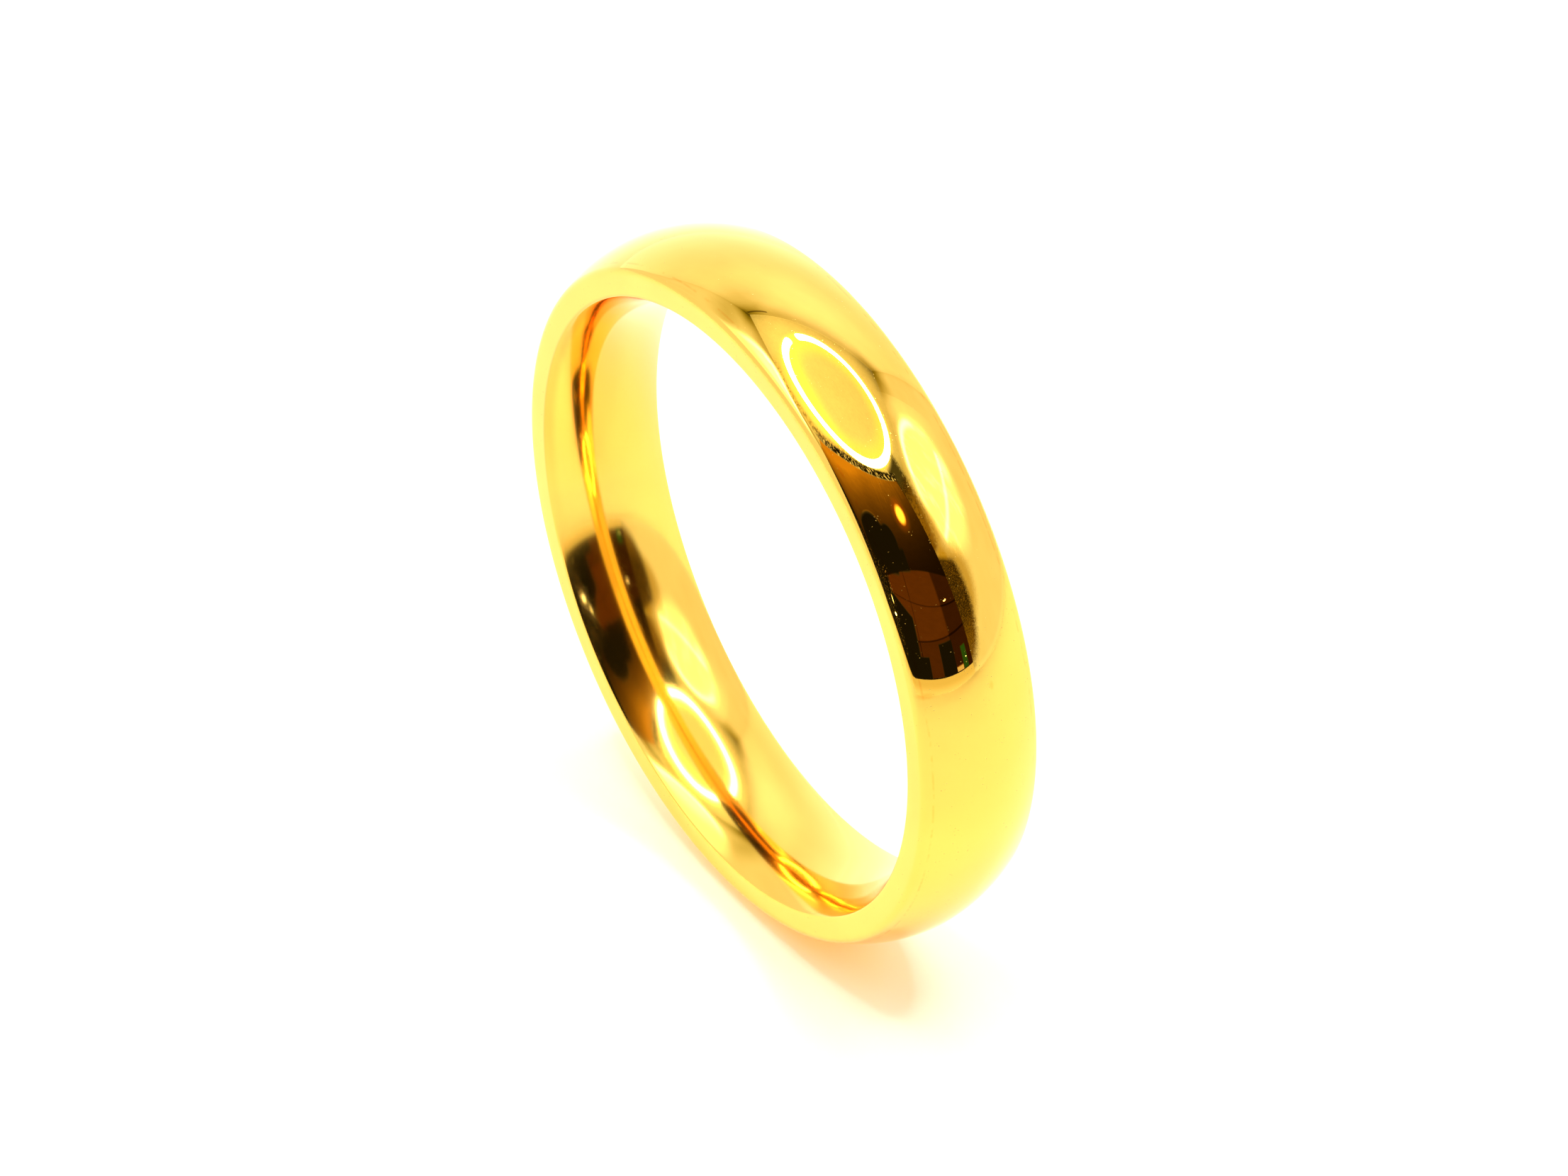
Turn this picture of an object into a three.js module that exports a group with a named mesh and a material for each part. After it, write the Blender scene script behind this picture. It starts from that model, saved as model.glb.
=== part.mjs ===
// A plain wedding band in yellow gold with a court section: domed outside for looks, domed
// inside for comfort, and a narrow flat along each edge between the two domes. It is turned
// from one piece of metal. All sizes are in millimetres.
//
// The band stands on its rim, as a ring stands on a table: the finger axis runs along Y, the
// origin is the centre of the finger hole halfway across the width, and +Z is up.

import * as THREE from 'three';

// Driving dimensions
const fingerDiameter = 18.2; // the hole at its narrowest, halfway across the width
const bandWidth = 4.0; // edge to edge, along the finger
const wallThickness = 1.92; // crown to crown, halfway across the width
const outerRise = 0.55; // how far the outside dome stands above its two edges
const innerRise = 0.58; // how far the inside dome stands proud of its two edges
const outerCornerRadius = 0.27; // softened corner between the outside dome and each flat
const innerCornerRadius = 0.08; // softened corner between the inside dome and each flat

// How finely the round shapes are stepped
const stepsAround = 96;
const outerDomeSteps = 10;
const innerDomeSteps = 8;
const outerCornerSteps = 3;
const innerCornerSteps = 2;

// Sizes that follow from the driving dimensions
const halfWidth = bandWidth / 2;
const fingerRadius = fingerDiameter / 2;
const crownRadius = fingerRadius + wallThickness;
const flatHeight = wallThickness - outerRise - innerRise;
const largestCorner = 0.45 * flatHeight;

// A softened edge of the section: a dome that leans on a flat, and the corner between them.
// The dome is one arc across the whole width, and the corner touches it and the flat.
// cornerOffset is how far the corner's centre lies from the dome's centre, towards the crown,
// and turn is the angle from the crown at which the dome hands over to the corner.
function softenedDome(rise, wantedCorner) {
  const domeRadius = (halfWidth ** 2 + rise ** 2) / (2 * rise);
  const corner = Math.min(wantedCorner, largestCorner);
  const reach = domeRadius - corner;
  const cornerAcross = halfWidth - corner;
  const cornerOffset = Math.sqrt(reach ** 2 - cornerAcross ** 2);
  const turn = Math.atan2(cornerAcross, cornerOffset);
  return { domeRadius, corner, cornerAcross, cornerOffset, turn };
}

// Points along an arc of the section. The first number of a point is its distance from the
// finger axis, and the second is its place across the width.
function arcPoints(centreRadius, centreAcross, arcRadius, fromAngle, toAngle, steps) {
  const points = [];
  for (let step = 0; step <= steps; step += 1) {
    const angle = fromAngle + ((toAngle - fromAngle) * step) / steps;
    const radius = centreRadius + arcRadius * Math.cos(angle);
    const across = centreAcross + arcRadius * Math.sin(angle);
    points.push(new THREE.Vector2(radius, across));
  }
  return points;
}

// The closed section, counter-clockwise from the outside corner of the near edge. The two
// flats are the straight runs between an outer corner and the inner corner beside it.
function courtSection() {
  const quarter = Math.PI / 2;
  const outer = softenedDome(outerRise, outerCornerRadius);
  const inner = softenedDome(innerRise, innerCornerRadius);
  const outerCentre = crownRadius - outer.domeRadius;
  const innerCentre = fingerRadius + inner.domeRadius;
  const outerCorner = outerCentre + outer.cornerOffset;
  const innerCorner = innerCentre - inner.cornerOffset;
  const innerStart = Math.PI - inner.turn;
  const innerEnd = Math.PI + inner.turn;
  const stretches = [
    arcPoints(outerCorner, -outer.cornerAcross, outer.corner, -quarter, -outer.turn, outerCornerSteps),
    arcPoints(outerCentre, 0, outer.domeRadius, -outer.turn, outer.turn, outerDomeSteps),
    arcPoints(outerCorner, outer.cornerAcross, outer.corner, outer.turn, quarter, outerCornerSteps),
    arcPoints(innerCorner, inner.cornerAcross, inner.corner, quarter, innerStart, innerCornerSteps),
    arcPoints(innerCentre, 0, inner.domeRadius, innerStart, innerEnd, innerDomeSteps),
    arcPoints(innerCorner, -inner.cornerAcross, inner.corner, innerEnd, 3 * quarter, innerCornerSteps),
  ];
  return closedOutline(stretches);
}

// Joins the stretches end to end, leaves out each point that repeats the one before it, and
// closes the outline on its first point.
function closedOutline(stretches) {
  const samePlace = 1e-6;
  const outline = [];
  for (const point of stretches.flat()) {
    const last = outline.at(-1);
    if (!last || last.distanceTo(point) > samePlace) {
      outline.push(point);
    }
  }
  outline.push(outline[0].clone());
  return outline;
}

// A lathe turns its section about Y, which is the finger axis, so the band needs no turning.
function makeBand() {
  const geometry = new THREE.LatheGeometry(courtSection(), stepsAround);
  const polishedGold = new THREE.MeshStandardMaterial({
    name: 'polished_gold',
    color: new THREE.Color(1.0, 0.62, 0.13),
    metalness: 1.0,
    roughness: 0.06,
  });
  const band = new THREE.Mesh(geometry, polishedGold);
  band.name = 'band';
  return band;
}

const weddingBand = new THREE.Group();
weddingBand.name = 'wedding_band';
weddingBand.add(makeBand());

export default weddingBand;
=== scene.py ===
"""A plain court wedding band in polished yellow gold, standing on its rim in a white light tent.

All sizes are in metres. The band's finger axis runs along Y, the centre of the finger hole is
the origin, and +Z is up. A bearing is an angle in plan, in degrees: 0 points along -Y, where
the near edge of the band faces, and 90 points along +X.
"""

import math

import bpy
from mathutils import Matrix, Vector


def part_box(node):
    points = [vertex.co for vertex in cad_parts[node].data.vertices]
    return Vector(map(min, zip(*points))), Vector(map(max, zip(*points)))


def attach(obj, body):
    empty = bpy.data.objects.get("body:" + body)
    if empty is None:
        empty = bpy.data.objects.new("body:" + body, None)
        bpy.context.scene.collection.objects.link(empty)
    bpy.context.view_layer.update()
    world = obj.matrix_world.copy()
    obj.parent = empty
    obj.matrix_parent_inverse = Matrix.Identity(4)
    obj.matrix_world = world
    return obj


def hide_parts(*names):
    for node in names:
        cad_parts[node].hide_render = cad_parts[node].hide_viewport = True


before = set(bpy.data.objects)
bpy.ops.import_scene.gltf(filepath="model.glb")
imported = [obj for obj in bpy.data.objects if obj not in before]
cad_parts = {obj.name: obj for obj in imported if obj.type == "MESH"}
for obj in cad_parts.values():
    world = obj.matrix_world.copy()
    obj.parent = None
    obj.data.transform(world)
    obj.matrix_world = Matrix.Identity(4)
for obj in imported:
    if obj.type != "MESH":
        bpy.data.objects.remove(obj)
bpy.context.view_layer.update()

MM = 0.001
SAME_PLACE = 0.001 * MM
WHITE = (1.0, 1.0, 1.0, 1.0)
BLACK = (0.0, 0.0, 0.0, 1.0)

# The band's own sizes. The crown and the width come from the frame, the rest are the turner's.
_, band_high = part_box("band")
CROWN_RADIUS = band_high[0]
HALF_WIDTH = band_high[1]
FINGER_RADIUS = 9.1 * MM
OUTER_RISE = 0.55 * MM
INNER_RISE = 0.58 * MM
OUTER_CORNER = 0.27 * MM
INNER_CORNER = 0.08 * MM

# Where the camera stands, and how it is framed
CAMERA_BEARING = 56.6
CAMERA_HEIGHT_ANGLE = 39.5
CAMERA_DISTANCE = 27.35 * CROWN_RADIUS
CAMERA_LENS = 236.4
FRAMING_RIGHT = 0.14 * MM
FRAMING_DOWN = 0.10 * MM

# The studio
TABLE_HEIGHT = -CROWN_RADIUS
TABLE_SIZE = 12.0
ROOM_DISTANCE = 0.8
WORLD_STRENGTH = 1.1
TENT_HALF_WIDTH = 0.197
TENT_CENTRE = (0.0026, 0.0437)
TENT_BEARING = 58.5
TENT_TOP = 0.36
SILL_HEIGHT = 0.0041
SILL_HEM = 0.0012
OPENING_LEFT = 22.0
LAMP_RADIUS = 0.1011
LAMP_CENTRE = (0.0080, 0.0261, 0.2375)
LAMP_TUBE_RADIUS = 0.0068
LAMP_GAP = 19.0
LAMP_FLATTENING = 0.955
LAMP_STRENGTH = 20.0


# ------------------------------------------------------------------ shader arithmetic


class Wire:
    """An output socket. Arithmetic on wires and numbers adds Math nodes to its tree."""

    def __init__(self, tree, socket):
        self.tree = tree
        self.socket = socket

    def maths(self, operation, first, second=0.0, clamp=False):
        settings = {"operation": operation, "use_clamp": clamp}
        return self.tree.node("ShaderNodeMath", settings, {0: first, 1: second})

    def __add__(self, other):
        return self.maths("ADD", self, other)

    def __sub__(self, other):
        return self.maths("SUBTRACT", self, other)

    def __mul__(self, other):
        return self.maths("MULTIPLY", self, other)

    def __truediv__(self, other):
        return self.maths("DIVIDE", self, other)

    def __rsub__(self, other):
        return self.maths("SUBTRACT", other, self)

    def __rtruediv__(self, other):
        return self.maths("DIVIDE", other, self)

    def __abs__(self):
        return self.maths("ABSOLUTE", self)

    __radd__ = __add__
    __rmul__ = __mul__

    def root(self):
        return self.maths("SQRT", self)

    def power_of_e(self):
        return self.maths("EXPONENT", self)

    def clamped(self):
        return self.maths("ADD", self, 0.0, clamp=True)

    def at_least(self, other):
        return self.maths("MAXIMUM", self, other)

    def at_most(self, other):
        return self.maths("MINIMUM", self, other)

    def rise(self, low, high):
        """0 below low, 1 above high, and a smooth step between them."""
        settings = {"interpolation_type": "SMOOTHSTEP"}
        inputs = {"Value": self, "From Min": low, "From Max": high, "To Min": 0.0, "To Max": 1.0}
        return self.tree.node("ShaderNodeMapRange", settings, inputs)

    def between(self, low, high, soft):
        """1 between low and high, falling to 0 over a soft border."""
        return self.rise(low - soft, low + soft) * (1 - self.rise(high - soft, high + soft))


class Tree:
    """The node tree of a new material."""

    def __init__(self, name):
        self.material = bpy.data.materials.new(name)
        self.material.use_nodes = True
        self.nodes = self.material.node_tree.nodes
        self.links = self.material.node_tree.links
        self.nodes.clear()

    def node(self, kind, settings=None, inputs=None, output=0):
        """Adds a node: its settings first, then the values or wires of its sockets."""
        made = self.nodes.new(kind)
        for name, value in (settings or {}).items():
            setattr(made, name, value)
        for name, value in (inputs or {}).items():
            if isinstance(value, Wire):
                self.links.new(value.socket, made.inputs[name])
            else:
                made.inputs[name].default_value = value
        if not made.outputs:
            return None
        return Wire(self, made.outputs[output])

    def place(self):
        """The point's place as three wires, in metres."""
        coordinates = self.node("ShaderNodeTexCoord", output="Object")
        split = self.nodes.new("ShaderNodeSeparateXYZ")
        self.links.new(coordinates.socket, split.inputs[0])
        return coordinates, [Wire(self, socket) for socket in split.outputs]

    def mix(self, factor, first, second):
        """A colour between two colours."""
        settings = {"data_type": "RGBA"}
        inputs = {0: factor, 6: first, 7: second}
        return self.node("ShaderNodeMix", settings, inputs, output=2)

    def noise(self, where, scale, detail, roughness=0.5):
        inputs = {"Vector": where, "Scale": scale, "Detail": detail, "Roughness": roughness}
        return self.node("ShaderNodeTexNoise", {}, inputs)

    def scaled(self, where, factors):
        """A place stretched along each axis."""
        return self.node("ShaderNodeVectorMath", {"operation": "MULTIPLY"}, {0: where, 1: factors})

    def finish(self, shader):
        self.node("ShaderNodeOutputMaterial", {}, {"Surface": shader})
        return self.material


# ------------------------------------------------------------------ small helpers


def direction(bearing, height_angle=0.0):
    """A unit vector from the band towards a bearing and an angle above level."""
    across = math.cos(math.radians(height_angle))
    turn = math.radians(bearing)
    up = math.sin(math.radians(height_angle))
    return Vector((math.sin(turn) * across, -math.cos(turn) * across, up))


def edit(piece):
    """Opens one piece for editing with nothing else selected."""
    bpy.ops.object.select_all(action="DESELECT")
    bpy.context.view_layer.objects.active = piece
    piece.select_set(True)
    bpy.ops.object.mode_set(mode="EDIT")


def close_edit():
    bpy.ops.object.mode_set(mode="OBJECT")


def remove_faces(piece, unwanted):
    """Deletes the faces of one piece for which the test unwanted(face) holds."""
    edit(piece)
    bpy.ops.mesh.select_mode(type="FACE")
    bpy.ops.mesh.select_all(action="DESELECT")
    close_edit()
    for face in piece.data.polygons:
        face.select = unwanted(face)
    edit(piece)
    bpy.ops.mesh.delete(type="FACE")
    close_edit()


def only_stage(piece, material):
    """Makes a piece part of the studio, seen only by light and by reflections."""
    piece.data.materials.clear()
    piece.data.materials.append(material)
    piece.visible_camera = False


# ------------------------------------------------------------------ the band


class Dome:
    """One dome of the court section and the corner that hands it over to the flat edge."""

    def __init__(self, rise, corner):
        self.radius = (HALF_WIDTH**2 + rise**2) / (2 * rise)
        self.corner = corner
        self.corner_across = HALF_WIDTH - corner
        self.corner_offset = math.sqrt((self.radius - corner) ** 2 - self.corner_across**2)
        self.turn = math.atan2(self.corner_across, self.corner_offset)


def turn_stretch(centre, angle, steps):
    """Carries the selected end of the section counter-clockwise round an arc.

    Spin turns clockwise about its axis, so the axis points down.
    """
    bpy.ops.mesh.spin(steps=steps, angle=angle, center=centre, axis=(0, 0, -1))


def straight_stretch(step, steps):
    """Carries the selected end of the section along a straight line."""
    for _ in range(steps):
        bpy.ops.mesh.extrude_region_move(TRANSFORM_OT_translate={"value": step})


def model_band():
    """Draws the closed section at +X as one line of points and turns it about the finger axis."""
    turns_around = 512
    dome_steps = 56
    inner_dome_steps = 46
    outer_corner_steps = 8
    inner_corner_steps = 5
    flat_steps = 5
    quarter = math.pi / 2

    outer = Dome(OUTER_RISE, OUTER_CORNER)
    inner = Dome(INNER_RISE, INNER_CORNER)
    outer_centre = CROWN_RADIUS - outer.radius
    inner_centre = FINGER_RADIUS + inner.radius
    outer_corner = outer_centre + outer.corner_offset
    inner_corner = inner_centre - inner.corner_offset
    outer_corner_turn = quarter - outer.turn
    inner_corner_turn = quarter - inner.turn
    flat_step = (inner_corner - outer_corner) / flat_steps

    bpy.ops.object.select_all(action="DESELECT")
    bpy.ops.mesh.primitive_plane_add(size=MM, location=(outer_corner, -HALF_WIDTH, 0))
    band = bpy.context.object
    band.name = "court_band"
    bpy.ops.object.transform_apply(location=True, rotation=True, scale=True)
    edit(band)
    bpy.ops.mesh.select_all(action="SELECT")
    bpy.ops.mesh.merge(type="CENTER")

    turn_stretch((outer_corner, -outer.corner_across, 0), outer_corner_turn, outer_corner_steps)
    turn_stretch((outer_centre, 0, 0), 2 * outer.turn, dome_steps)
    turn_stretch((outer_corner, outer.corner_across, 0), outer_corner_turn, outer_corner_steps)
    straight_stretch((flat_step, 0, 0), flat_steps)
    turn_stretch((inner_corner, inner.corner_across, 0), inner_corner_turn, inner_corner_steps)
    turn_stretch((inner_centre, 0, 0), 2 * inner.turn, inner_dome_steps)
    turn_stretch((inner_corner, -inner.corner_across, 0), inner_corner_turn, inner_corner_steps)
    straight_stretch((-flat_step, 0, 0), flat_steps)

    bpy.ops.mesh.select_all(action="SELECT")
    bpy.ops.mesh.remove_doubles(threshold=SAME_PLACE)
    bpy.ops.mesh.spin(steps=turns_around, angle=2 * math.pi, center=(0, 0, 0), axis=(0, 1, 0))
    bpy.ops.mesh.select_all(action="SELECT")
    bpy.ops.mesh.remove_doubles(threshold=SAME_PLACE)
    bpy.ops.mesh.normals_make_consistent(inside=False)
    close_edit()
    bpy.ops.object.shade_smooth()
    return band


def mark(tree, where, middle, reach):
    """1 at the middle of one small mark and 0 beyond its reach along each axis, in millimetres."""
    subtract = {"operation": "SUBTRACT"}
    offset = tree.node("ShaderNodeVectorMath", subtract, {0: where, 1: [MM * v for v in middle]})
    offset = tree.scaled(offset, [1 / (MM * v) for v in reach])
    length = tree.node("ShaderNodeVectorMath", {"operation": "LENGTH"}, {0: offset}, output="Value")
    return 1 - length.rise(0.2, 1.0)


def gold_finish():
    """Mirror-polished yellow gold with the marks of polishing and of a little wear, with painted
    shade inside and a painted dark line along its corners.
    """
    tree = Tree("polished_gold")
    where, (x, y, z) = tree.place()
    radius = (x * x + z * z).root()

    # Broad, faint waves left by the polishing mop, and hairlines that run round the band
    waves = tree.noise(where, 260.0, 2.0)
    hairlines = tree.noise(tree.scaled(where, (900.0, 26000.0, 900.0)), 1.0, 3.0, 0.6)
    grain = tree.noise(where, 22000.0, 2.0)

    # The two corners of each edge are rubbed duller than the domes, and the finger side a little
    edge = abs(y).rise(HALF_WIDTH - 0.28 * MM, HALF_WIDTH - 0.05 * MM)
    inside = 1 - radius.rise(FINGER_RADIUS + INNER_RISE, FINGER_RADIUS + INNER_RISE + 0.1 * MM)

    # Pits and specks of dust, of two sizes, and a few faint finger marks
    fine = tree.node("ShaderNodeTexVoronoi", {}, {"Vector": where, "Scale": 7600.0})
    coarse = tree.node("ShaderNodeTexVoronoi", {}, {"Vector": where, "Scale": 1500.0})
    scatter = tree.noise(where, 2400.0, 1.0)
    specks = 0.55 * (1 - fine.rise(0.06, 0.16)) * scatter.rise(0.52, 0.60)
    specks = (specks + (1 - coarse.rise(0.02, 0.05)) * (1 - scatter.rise(0.40, 0.48))).clamped()
    specks = specks * (1 - 0.7 * inside)
    marks = tree.noise(tree.scaled(where, (520.0, 1400.0, 520.0)), 1.0, 5.0, 0.7).rise(0.60, 0.72)

    roughness = 0.010 + 0.015 * waves + 0.02 * edge + 0.085 * inside
    roughness = roughness + 0.015 * hairlines.rise(0.55, 0.8) + 0.05 * marks + 0.40 * specks
    bright_gold = (1.0, 0.63, 0.115, 1.0)
    deep_gold = (1.0, 0.60, 0.105, 1.0)
    shaded_gold = (1.0, 0.49, 0.085, 1.0)
    stain_and_shade_gold = (0.95, 0.42, 0.05, 1.0)
    dust = (0.60, 0.42, 0.12, 1.0)
    colour = tree.mix(waves.rise(0.35, 0.7), bright_gold, deep_gold)
    # Painted shade: the finger side towards -X and upwards is a deeper gold, which darkens its
    # reflections there, except in a narrow stripe across the width
    painted_inner_shade = (0 - x).rise(-1.0 * MM, 6.0 * MM) * z.rise(-5.0 * MM, 2.0 * MM)
    painted_inner_shade = inside * painted_inner_shade * (1 - y.between(-1.75 * MM, -0.70 * MM, 0.12 * MM))
    colour = tree.mix(painted_inner_shade, colour, shaded_gold)
    # Painted reflection: a broken dark line along each outer corner, where the dome meets the flat,
    # shares one darker gold with two real stains
    painted_corner_line = abs(y).between(HALF_WIDTH - 0.30 * MM, HALF_WIDTH - 0.25 * MM, 0.02 * MM)
    painted_corner_line = painted_corner_line * tree.noise(where, 2600.0, 2.0).rise(0.42, 0.60) * (1 - inside)
    stain = mark(tree, where, (10.05, -1.65, 3.55), (0.35, 0.42, 0.14))
    stain = stain + 0.8 * mark(tree, where, (10.48, 0.32, 3.36), (0.20, 0.10, 0.20))
    colour = tree.mix((0.45 * painted_corner_line + 0.55 * stain).clamped(), colour, stain_and_shade_gold)
    colour = tree.mix(specks * 0.5, colour, dust)
    height = 0.35 * hairlines + 0.15 * grain + 2.0 * specks
    bump_inputs = {"Strength": 0.05, "Distance": 0.002 * MM, "Height": height}
    normal = tree.node("ShaderNodeBump", {}, bump_inputs)
    inputs = {
        "Base Color": colour,
        "Metallic": 1 - 0.6 * specks,
        "Roughness": roughness,
        "Normal": normal,
    }
    return tree.finish(tree.node("ShaderNodeBsdfPrincipled", {}, inputs))


# ------------------------------------------------------------------ the studio


def glowing(tree, colour, strength, cut=None):
    """A surface that only gives light, and where cut is 1 isn't there."""
    if isinstance(strength, Wire):
        settings = {"operation": "SCALE"}
        colour = tree.node("ShaderNodeVectorMath", settings, {"Vector": colour, "Scale": strength})
        strength = 1.0
    inputs = {
        "Base Color": BLACK,
        "Specular IOR Level": 0.0,
        "Emission Color": colour,
        "Emission Strength": strength,
    }
    light = tree.node("ShaderNodeBsdfPrincipled", {}, inputs)
    if cut is not None:
        nothing = tree.node("ShaderNodeBsdfTransparent")
        light = tree.node("ShaderNodeMixShader", {}, {0: cut, 1: light, 2: nothing})
    return tree.finish(light)


class View:
    """Where a point lies as seen from the band: its bearing and its angle above level."""

    def __init__(self, tree):
        self.tree = tree
        self.where, (self.x, self.y, self.z) = tree.place()
        degrees = 180 / math.pi
        level = (self.x * self.x + self.y * self.y).root()
        self.bearing = self.x.maths("ARCTAN2", self.x, 0 - self.y) * degrees
        self.height = self.z.maths("ARCTAN2", self.z, level) * degrees

    def patch(self, left, right, low, high, soft=0.3):
        return self.bearing.between(left, right, soft) * self.height.between(low, high, soft)

    def off_spot(self, bearing, height, half_width, half_height):
        """How far a point lies from a round spot: 0 at its middle and 1 at its rim."""
        across = (self.bearing - bearing) / half_width
        up = (self.height - height) / half_height
        return (across * across + up * up).root()

    def spot(self, bearing, height, half_width, half_height, soft=0.1):
        return 1 - self.off_spot(bearing, height, half_width, half_height).rise(1 - soft, 1 + soft)

    def strands(self, along, across, slant=0.0):
        """Noise drawn out into strands: along and across are how fine it is each way."""
        lean = self.bearing * across + self.height * slant
        drawn = self.tree.node("ShaderNodeCombineXYZ", {}, {0: lean, 1: self.height * along})
        return self.tree.noise(drawn, 1.0, 4.0, 0.6)

    def opening(self):
        """How far a point lies above the upper edge of the tent's opening, which hangs in a bow."""
        middle = 50.0
        highest = 64.6
        bow = 0.0020
        from_middle = self.bearing.at_least(OPENING_LEFT) - middle
        return self.height - (highest - bow * from_middle * from_middle)


def tent_light():
    """White fabric lit through both side walls and from within, dim along its seams."""
    tree = Tree("tent_fabric")
    view = View(tree)
    ahead = direction(TENT_BEARING)
    aside = direction(TENT_BEARING + 90.0)
    middle = Vector((*TENT_CENTRE, 0.0))
    u = view.x * ahead.x + view.y * ahead.y
    v = view.x * aside.x + view.y * aside.y
    to_front = TENT_HALF_WIDTH - abs(u - middle.dot(ahead))
    to_side = TENT_HALF_WIDTH - abs(v - middle.dot(aside))
    to_top = TENT_TOP - view.z

    # The seam round the roof, the upright seams, and the corners where they meet
    upright = to_front.at_least(to_side)
    roof = 1 - to_top.rise(0.001, 0.002)
    most_sag = 0.020
    seam_reach = 0.085
    corner_reach = 0.10
    sag = most_sag * (0 - u).rise(0.03, 0.18)
    round_roof = (to_front.at_most(to_side) + sag * roof).at_least(to_top - sag)
    corner = upright.at_least(to_top)
    dim = 0.48 * (1 - round_roof.rise(-0.02, seam_reach))
    dim = dim + 0.32 * (1 - corner.rise(0.0, corner_reach))
    dim = dim * (1 - 0.6 * view.bearing.between(134.0, 174.0, 8.0))
    dim = dim + 0.14 * (1 - upright.rise(-0.01, 0.02))
    dim = dim + 0.32 * (1 - view.off_spot(-84.0, 46.5, 34.0, 10.5).rise(0.0, 1.15))

    # A lamp outside each side wall shows through it as a soft oval with a brighter rim
    glow_half_length = 0.105
    glow_half_height = 0.120
    glow_middle = 0.211
    left_glow_lift = 0.022
    left = (0 - v).rise(0.0, 0.1)
    along = u / glow_half_length
    up = (view.z - glow_middle - left_glow_lift * left) / glow_half_height
    off_glow = (along * along + up * up).root()
    wall = 1 - to_side.rise(0.001, 0.002)
    glow = (1 - off_glow.rise(0.82, 1.16)) * wall
    rim = off_glow.between(0.80, 0.95, 0.09) * view.z.rise(0.20, 0.27) * wall
    rim = rim * (1 - 0.6 * view.bearing.between(120.0, 136.0, 6.0))
    streak = view.patch(127.0, 166.0, 31.2, 32.6, 1.2)
    streak = streak + 0.5 * view.spot(162.5, 29.5, 3.5, 2.5, 0.9)
    halo = view.spot(172.0, 41.0, 8.0, 12.0, 0.8)

    # The back wall catches the ring lamp, and so does the roof around and within it
    back_wall = 1 - (u - middle.dot(ahead) + TENT_HALF_WIDTH).rise(0.001, 0.002)
    back = back_wall * (1 - view.off_spot(-136.0, 42.0, 38.0, 20.0).rise(0.0, 1.15))
    level_with_lamp = LAMP_CENTRE[2] / view.z.at_least(0.01)
    lamp_x = view.x * level_with_lamp - LAMP_CENTRE[0]
    lamp_y = view.y * level_with_lamp - LAMP_CENTRE[1]
    beyond_lamp = (lamp_x * lamp_x + lamp_y * lamp_y).root() - LAMP_RADIUS
    aureole = beyond_lamp.rise(-0.045, -0.008) * (1 - beyond_lamp.rise(0.006, 0.016))
    wide_aureole = 1 - view.off_spot(-20.0, 74.0, 75.0, 12.0).rise(0.3, 1.1)
    aureole = (aureole + 0.8 * wide_aureole).at_most(1.0)

    cloth = tree.noise(view.where, 24.0, 2.0)
    weave = tree.noise(view.where, 190.0, 4.0, 0.65)
    bright_side = 0.20 - 0.40 * view.x - 1.10 * view.y
    near_table = 1 - view.height.rise(-4.0, 26.0)
    level = 1.06 + roof * (bright_side + 0.35 * (weave - 0.5)) + 0.14 * (cloth - 0.5) - dim
    level = level + back_wall * (0.14 + 0.30 * near_table) + 0.30 * back
    level = level + glow * 0.75 + 0.3 * halo + 0.4 * aureole * roof
    level = level + 0.12 * (1 - view.height.rise(-1.8, -0.4))
    folds = view.strands(0.06, 0.13).rise(0.48, 0.72) * glow * (1 - left)
    near_end = view.bearing.rise(-76.0, -44.0)
    shine = (4.2 * rim + 1.6 * glow * left * view.z.rise(0.215, 0.29)) * near_end
    shine = shine + 3.5 * streak + 1.4 * folds

    # Fabric in half shadow looks warm, and the black lining of the opening shows beside it
    warm = ((level - 0.30) * 1.25).clamped()
    half_shadow = (1.0, 0.86, 0.10, 1.0)
    colour = tree.mix(warm, half_shadow, WHITE)
    colour = tree.mix(roof * 0.8, colour, (1.0, 0.98, 0.74, 1.0))
    colour = tree.mix(aureole * roof * 0.8, colour, (1.0, 1.0, 0.36, 1.0))
    colour = tree.mix((back + 0.5 * shine).clamped(), colour, (1.0, 1.0, 1.12, 1.0))

    fuzz = view.strands(0.9, 0.5)
    speckle = tree.noise(view.where, 560.0, 2.0)
    ragged = 0.45 * (fuzz - 0.5) + 0.9 * (speckle - 0.5)
    upper_edge = 112.5 + 0.5 * (view.height - 33.0) + 9.0 * fuzz
    upper = (upper_edge - view.bearing + 6.0 * ragged).rise(-3.0, 5.0)
    upper = upper * view.height.rise(32.5, 35.0) * (1 - view.height.rise(60.0, 62.5))
    lobe = 1 - (view.off_spot(109.0, 20.0, 17.5, 21.0) + 0.35 * ragged).rise(0.80, 1.10)
    lower = lobe * (33.0 - view.height - 0.41 * (view.bearing - 113.0)).rise(0.0, 2.5)
    smear = 0.8 * (1 - (view.off_spot(117.0, 20.0, 20.0, 13.0) + 0.3 * ragged).rise(0.65, 1.10))
    smear = smear + 0.8 * (1 - view.off_spot(115.0, 40.0, 13.0, 13.0).rise(0.5, 1.1))
    hem = view.patch(108.0, 111.8, -8.0, 58.5, 0.3)
    lining = ((upper + lower).clamped() + hem).clamped()
    rod = abs(view.height - 55.0 + 0.214 * (view.bearing + 100.0))
    rod = (1 - rod.rise(0.2, 0.55)) * view.bearing.between(-101.0, -86.0, 0.6)
    beside = view.bearing.between(108.0, 160.0, 0.5)
    pale = view.height.between(34.0, 50.0, 4.0) * fuzz.rise(0.30, 0.55)
    pale = 0.9 * pale + 0.45 * (1 - view.height.rise(4.0, 15.0))
    pale = (pale + speckle.rise(0.50, 0.68)).clamped()
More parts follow.
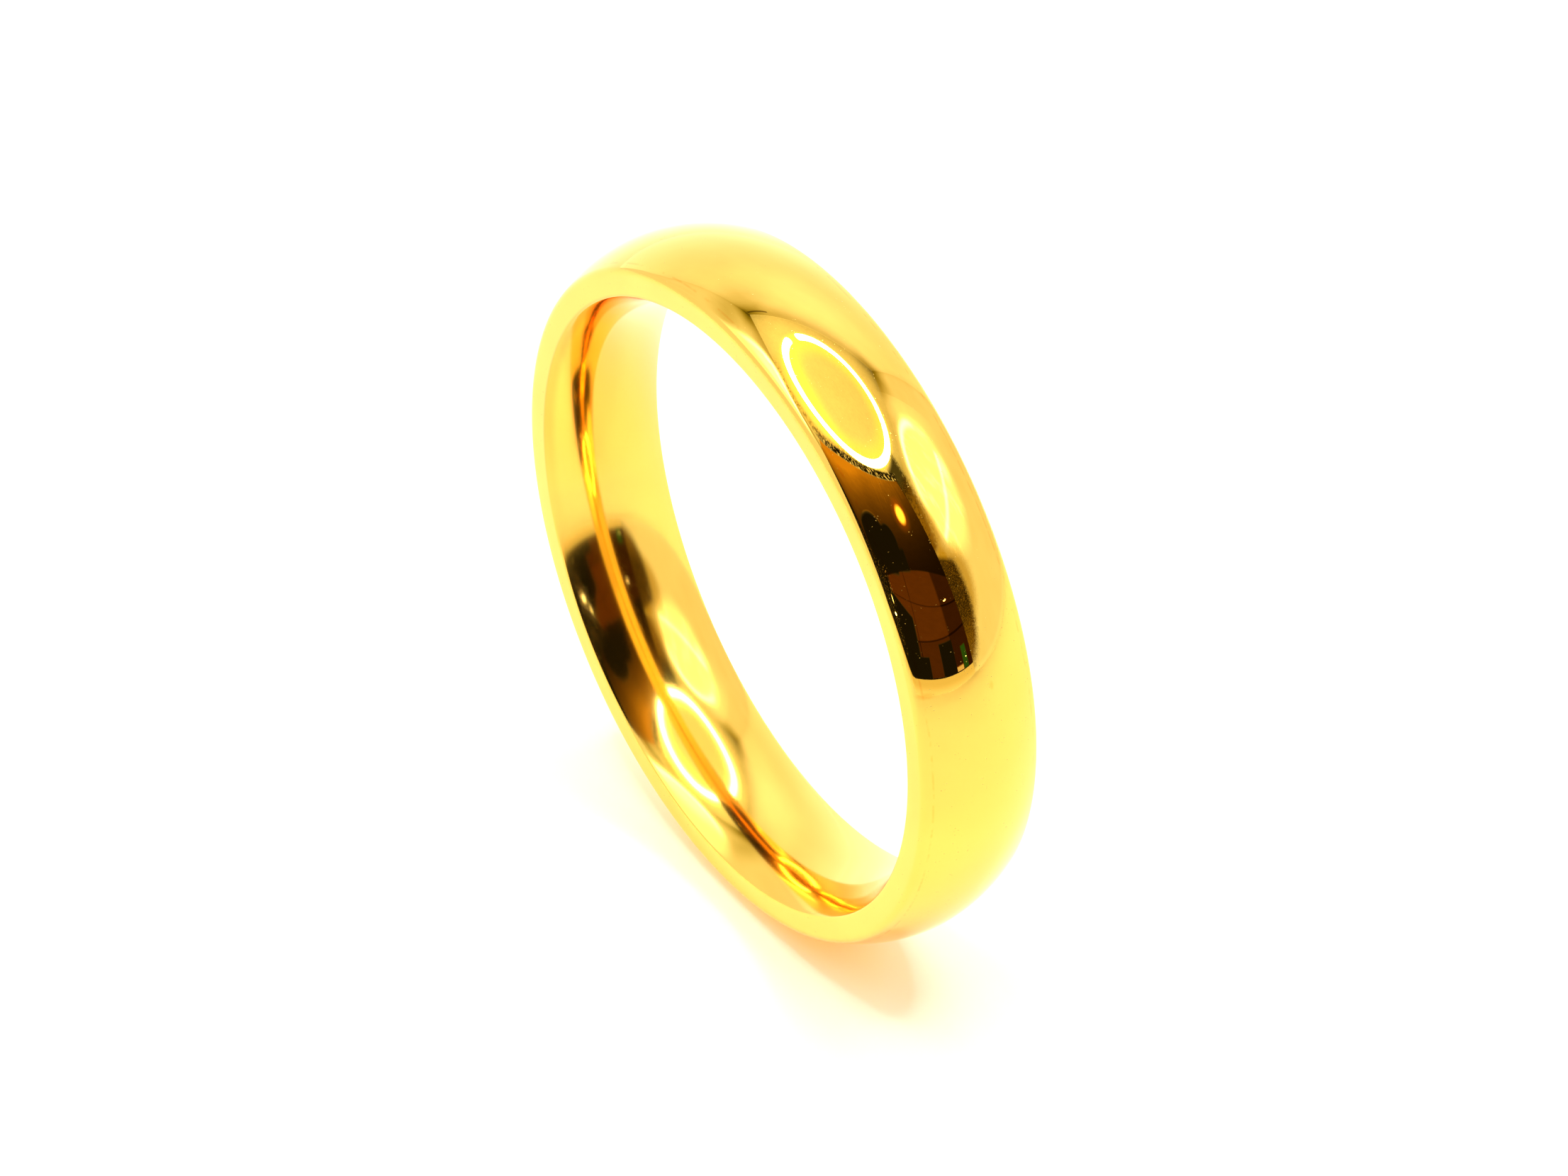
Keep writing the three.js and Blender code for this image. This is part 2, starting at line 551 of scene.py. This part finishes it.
    black_cloth = (0.034, 0.021, 0.003, 1.0)
    dusty_cloth = (0.30, 0.18, 0.02, 1.0)
    lining_tone = tree.mix(pale, black_cloth, dusty_cloth)
    lining_tone = tree.mix(view.height.rise(52.0, 57.0), lining_tone, (0.075, 0.070, 0.030, 1.0))
    lining_tone = tree.mix(hem * 0.85, lining_tone, (0.030, 0.016, 0.003, 1.0))
    colour = tree.mix((smear * beside).clamped(), colour, (0.52, 0.37, 0.05, 1.0))
    colour = tree.mix(rod * 0.8, colour, (0.16, 0.11, 0.01, 1.0))
    colour = tree.mix((lining * beside).clamped(), colour, lining_tone)
    bare = 1 - (lining * beside).clamped()

    # A frayed strip of black webbing along the opening's upper edge
    above = view.opening()
    frayed = view.strands(0.55, 0.55, 0.5)
    strip = above.between(0.0, 2.9, 0.5) * view.bearing.between(8.0, 113.0, 3.0)
    haze = above.between(1.2, 4.4, 1.0) * view.bearing.between(-50.0, 60.0, 12.0)
    frayed_dark = (0.26, 0.16, 0.03, 1.0)
    frayed_pale = (0.95, 0.80, 0.38, 1.0)
    haze_tone = tree.mix(frayed.rise(0.40, 0.60), frayed_dark, frayed_pale)
    webbing = (0.012, 0.010, 0.004, 1.0)
    loose_ends = (1.0, 0.92, 0.66, 1.0)
    strip_tone = tree.mix(frayed.rise(0.52, 0.60), webbing, loose_ends)
    colour = tree.mix(haze * 0.75 * roof, colour, haze_tone)
    colour = tree.mix(strip * view.bearing.rise(-10.0, 35.0), colour, strip_tone)

    strength = level + shine * bare
    strength = strength + (1 - strength) * ((lining * beside) + strip).clamped()
    cut = (0 - above).rise(-0.1, 0.1) * view.bearing.between(16.0, 111.2, 0.15)
    return glowing(tree, colour, strength, cut)


def sill_light():
    """Fabric folded up from the table, brighter towards its foot and dark along its hem."""
    tree = Tree("sill_fabric")
    view = View(tree)
    foot = 1 - view.height.rise(-3.4, -0.2)
    hem = view.z.rise(SILL_HEIGHT - 0.1 * MM, SILL_HEIGHT + 0.1 * MM)
    warm_cloth = (1.0, 0.86, 0.52, 1.0)
    white_cloth = (1.0, 0.96, 0.80, 1.0)
    colour = tree.mix(foot, warm_cloth, white_cloth)
    return glowing(tree, colour, 0.01 + (0.91 + 0.22 * foot) * (1 - hem))


def room_light():
    """The dim brown room beyond the tent's open front, with plain dark gear standing in it."""
    tree = Tree("brown_room")
    view = View(tree)
    fall = (0.135 * (view.height - 60.0)).power_of_e()
    left = 1 - view.bearing.rise(38.0, 66.0)
    streaks = view.strands(0.5, 0.16, 0.3)
    base = (0.36 * fall * (1 + 0.9 * left) * (0.75 + 0.5 * streaks)).at_most(0.75)
    base = base + 0.006

    # The front of a cupboard with its doors, brown where the light reaches it
    from_middle = view.bearing - 80.0
    top_edge = 33.4 - 0.0072 * from_middle * from_middle
    cupboard = (top_edge - view.height).rise(-0.3, 0.3) * view.bearing.rise(58.0, 60.0)
    doors = 0.110 - 0.035 * (1 - view.height.rise(11.7, 12.3))
    doors = doors - 0.070 * view.bearing.rise(97.0, 99.0)
    slope = view.height + 0.125 * (view.bearing - 62.0)
    joint = slope.between(25.1, 25.5, 0.2) + view.height.between(11.7, 12.2, 0.2)
    joint = joint + view.bearing.between(72.9, 73.4, 0.2)
    doors = (doors.at_least(0.036) - 0.06 * joint.clamped()).at_least(0.012) * (0.8 + 0.4 * streaks)
    wall_brown = (1.0, 0.47, 0.03, 1.0)
    door_brown = (1.0, 0.32, 0.04, 1.0)
    brown = tree.mix(cupboard, wall_brown, door_brown)
    strength = base + (doors.at_least(0.012) - base) * cupboard

    # Loose threads that hang from the opening's upper edge
    threads = view.strands(0.14, 1.1, 0.1).rise(0.50, 0.75)
    threads = threads * view.patch(72.0, 112.0, 53.0, 63.0, 3.0)
    strength = strength + 0.16 * threads

    # A camera and its stand, and a case beside them
    body = view.spot(57.5, 40.5, 12.0, 9.0) + view.patch(49.0, 70.0, 31.8, 43.0, 0.8)
    body = body + view.patch(62.0, 81.0, 33.2, 40.0, 0.8) + view.spot(70.5, 42.0, 7.0, 5.5)
    shoulder = 25.5 - 0.55 * (view.bearing - 60.0)
    column = (shoulder - view.height).rise(-0.5, 0.5) * (1 - view.bearing.rise(71.0, 72.4))
    foot = view.patch(40.0, 78.0, -9.0, 7.2) + view.patch(87.4, 98.4, -9.0, 10.6)
    side = 0.7 * view.patch(40.0, 59.5, -9.0, 33.0, 0.6)
    gear = (body + column + foot + side).clamped()
    edge_light = view.off_spot(58.0, 40.5, 12.6, 9.5).between(0.97, 1.02, 0.03)
    edge_light = edge_light * view.height.rise(46.5, 48.5) * view.bearing.between(50.0, 67.0, 2.0)
    colour = tree.mix(gear, brown, (1.0, 0.85, 0.40, 1.0))
    strength = strength + (0.010 - strength) * gear + 0.10 * edge_light

    # Small things: a bulb, a cream box, a green box and a few points of light
    off_bulb = view.off_spot(93.6, 49.6, 5.6, 3.5)
    bulb = 1 - off_bulb.rise(0.55, 1.1)
    halo = 1 - off_bulb.rise(0.9, 1.9)
    orange_glow = (1.0, 0.28, 0.02, 1.0)
    bulb_yellow = (1.0, 0.85, 0.20, 1.0)
    colour = tree.mix(halo * 0.8, colour, orange_glow)
    colour = tree.mix(bulb, colour, bulb_yellow)
    strength = strength + 0.12 * halo + 1.9 * bulb
    cream = view.patch(98.6, 104.2, -9.0, 2.0)
    green = view.patch(104.5, 108.6, -9.0, 7.2)
    colour = tree.mix(cream, colour, (1.0, 0.78, 0.52, 1.0))
    colour = tree.mix(green, colour, (0.24, 1.0, 0.16, 1.0))
    strength = strength + 0.78 * cream + (0.10 - strength) * green
    glints = view.spot(103.0, 21.5, 1.3, 0.22, 0.3) + view.spot(107.6, 3.5, 0.30, 0.15, 0.3)
    glints = glints + 3.0 * view.spot(56.2, 18.0, 0.9, 0.4, 0.4)
    glints = glints + view.spot(58.2, 23.0, 0.30, 1.2, 0.4)
    sparks = tree.noise(view.where, 170.0, 1.0).rise(0.68, 0.74)
    sparks = sparks * (1 - view.bearing.rise(59.0, 62.0)) * view.height.between(6.0, 33.0, 2.0)
    colour = tree.mix(sparks, colour, (1.0, 0.75, 0.50, 1.0))
    strength = strength + 1.5 * sparks
    colour = tree.mix(glints.clamped(), colour, WHITE)
    strength = strength + 8.0 * glints
    return glowing(tree, colour, strength)


def make_table():
    """A white table, warmed where the gold throws light on it."""
    bpy.ops.object.select_all(action="DESELECT")
    bpy.ops.mesh.primitive_plane_add(size=TABLE_SIZE, location=(0, 0, TABLE_HEIGHT))
    table = bpy.context.object
    table.name = "table"
    tree = Tree("white_table")
    gold_light = (0.55, 0.20, 0.03, 1.0)
    _, (x, y, _) = tree.place()
    from_band = (x * x + y * y).root()
    near = 1 - from_band.rise(0.2 * CROWN_RADIUS, 2.4 * CROWN_RADIUS)
    inputs = {
        "Base Color": (0.91, 0.91, 0.91, 1.0),
        "Roughness": 0.6,
        "Emission Color": tree.mix(near, BLACK, gold_light),
        "Emission Strength": 1.0,
    }
    table.data.materials.append(tree.finish(tree.node("ShaderNodeBsdfPrincipled", {}, inputs)))


def box_in_tent_frame(name, ahead, aside, low, high, half_ahead, half_aside):
    """A box turned with the tent, placed by how far ahead and aside of the tent's middle it is."""
    middle = Vector((*TENT_CENTRE, (low + high) / 2))
    middle = middle + direction(TENT_BEARING) * ahead + direction(TENT_BEARING + 90.0) * aside
    turn = (0, 0, math.radians(TENT_BEARING))
    bpy.ops.object.select_all(action="DESELECT")
    bpy.ops.mesh.primitive_cube_add(size=1.0, location=middle, rotation=turn)
    box = bpy.context.object
    box.name = name
    box.scale = (2 * half_aside, 2 * half_ahead, high - low)
    bpy.ops.object.transform_apply(location=True, rotation=True, scale=True)
    return box


def make_tent():
    """A square fabric box over the band, open at the bottom and at the front, with a low sill."""
    half = TENT_HALF_WIDTH
    tent = box_in_tent_frame("light_tent", 0, 0, TABLE_HEIGHT, TENT_TOP, half, half)
    front = direction(TENT_BEARING)
    remove_faces(tent, lambda face: face.normal.dot(front) > 0.9 or face.normal.z < -0.9)
    only_stage(tent, tent_light())
    top = SILL_HEIGHT + SILL_HEM
    sill = box_in_tent_frame("sill", half, 0, TABLE_HEIGHT, top, MM, half)
    only_stage(sill, sill_light())


def make_room():
    """A curved card beyond the tent's open front, square to the band."""
    ahead = direction(TENT_BEARING)
    bpy.ops.object.select_all(action="DESELECT")
    bpy.ops.mesh.primitive_uv_sphere_add(segments=72, ring_count=48, radius=ROOM_DISTANCE)
    room = bpy.context.object
    room.name = "room"
    remove_faces(room, lambda face: face.center.dot(ahead) < 0.1 * ROOM_DISTANCE)
    only_stage(room, room_light())


def make_lamp():
    """A ring lamp that hangs over the band, with a gap where the two ends of its tube meet."""
    tube = glowing(Tree("lamp_tube"), WHITE, LAMP_STRENGTH)
    half_gap = math.radians(LAMP_GAP / 2)
    end_x = LAMP_CENTRE[0] - LAMP_RADIUS * math.cos(half_gap)
    end_y = LAMP_RADIUS * LAMP_FLATTENING * math.sin(half_gap)
    pieces = []
    for side in (-1, 1):
        end = (end_x, LAMP_CENTRE[1] + side * end_y, LAMP_CENTRE[2])
        bpy.ops.object.select_all(action="DESELECT")
        bpy.ops.mesh.primitive_uv_sphere_add(
            segments=24, ring_count=12, radius=LAMP_TUBE_RADIUS, location=end
        )
        pieces.append(bpy.context.object)
    bpy.ops.object.select_all(action="DESELECT")
    bpy.ops.mesh.primitive_torus_add(
        major_segments=180,
        minor_segments=20,
        major_radius=LAMP_RADIUS,
        minor_radius=LAMP_TUBE_RADIUS,
        location=LAMP_CENTRE,
    )
    lamp = bpy.context.object
    lamp.name = "ring_lamp"
    lamp.scale = (1.0, LAMP_FLATTENING, 1.0)
    bpy.ops.object.transform_apply(location=True, rotation=True, scale=True)
    middle = Vector(LAMP_CENTRE)

    def in_gap(face):
        away = face.center - middle
        return abs(math.atan2(away.y, -away.x)) < half_gap

    remove_faces(lamp, in_gap)
    pieces.append(lamp)
    for piece in pieces:
        only_stage(piece, tube)


def make_world():
    world = bpy.data.worlds.new("white_surround")
    bpy.context.scene.world = world
    world.use_nodes = True
    background = world.node_tree.nodes["Background"]
    background.inputs["Color"].default_value = WHITE
    background.inputs["Strength"].default_value = WORLD_STRENGTH


def make_camera():
    back = direction(CAMERA_BEARING, CAMERA_HEIGHT_ANGLE)
    right = direction(CAMERA_BEARING + 90.0)
    up = back.cross(right)
    data = bpy.data.cameras.new("camera")
    data.sensor_width = 36.0
    data.lens = CAMERA_LENS
    data.clip_start = 0.01
    camera = bpy.data.objects.new("camera", data)
    camera.location = back * CAMERA_DISTANCE + right * FRAMING_RIGHT - up * FRAMING_DOWN
    tilt = math.radians(90.0 - CAMERA_HEIGHT_ANGLE)
    camera.rotation_euler = (tilt, 0.0, math.radians(CAMERA_BEARING))
    bpy.context.scene.collection.objects.link(camera)
    bpy.context.scene.camera = camera


# ------------------------------------------------------------------ putting it together

band = model_band()
band.data.materials.clear()
band.data.materials.append(gold_finish())
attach(band, "root")
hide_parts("band")

make_table()
make_tent()
make_room()
make_lamp()
make_world()
make_camera()
bpy.context.scene.view_settings.view_transform = "Standard"
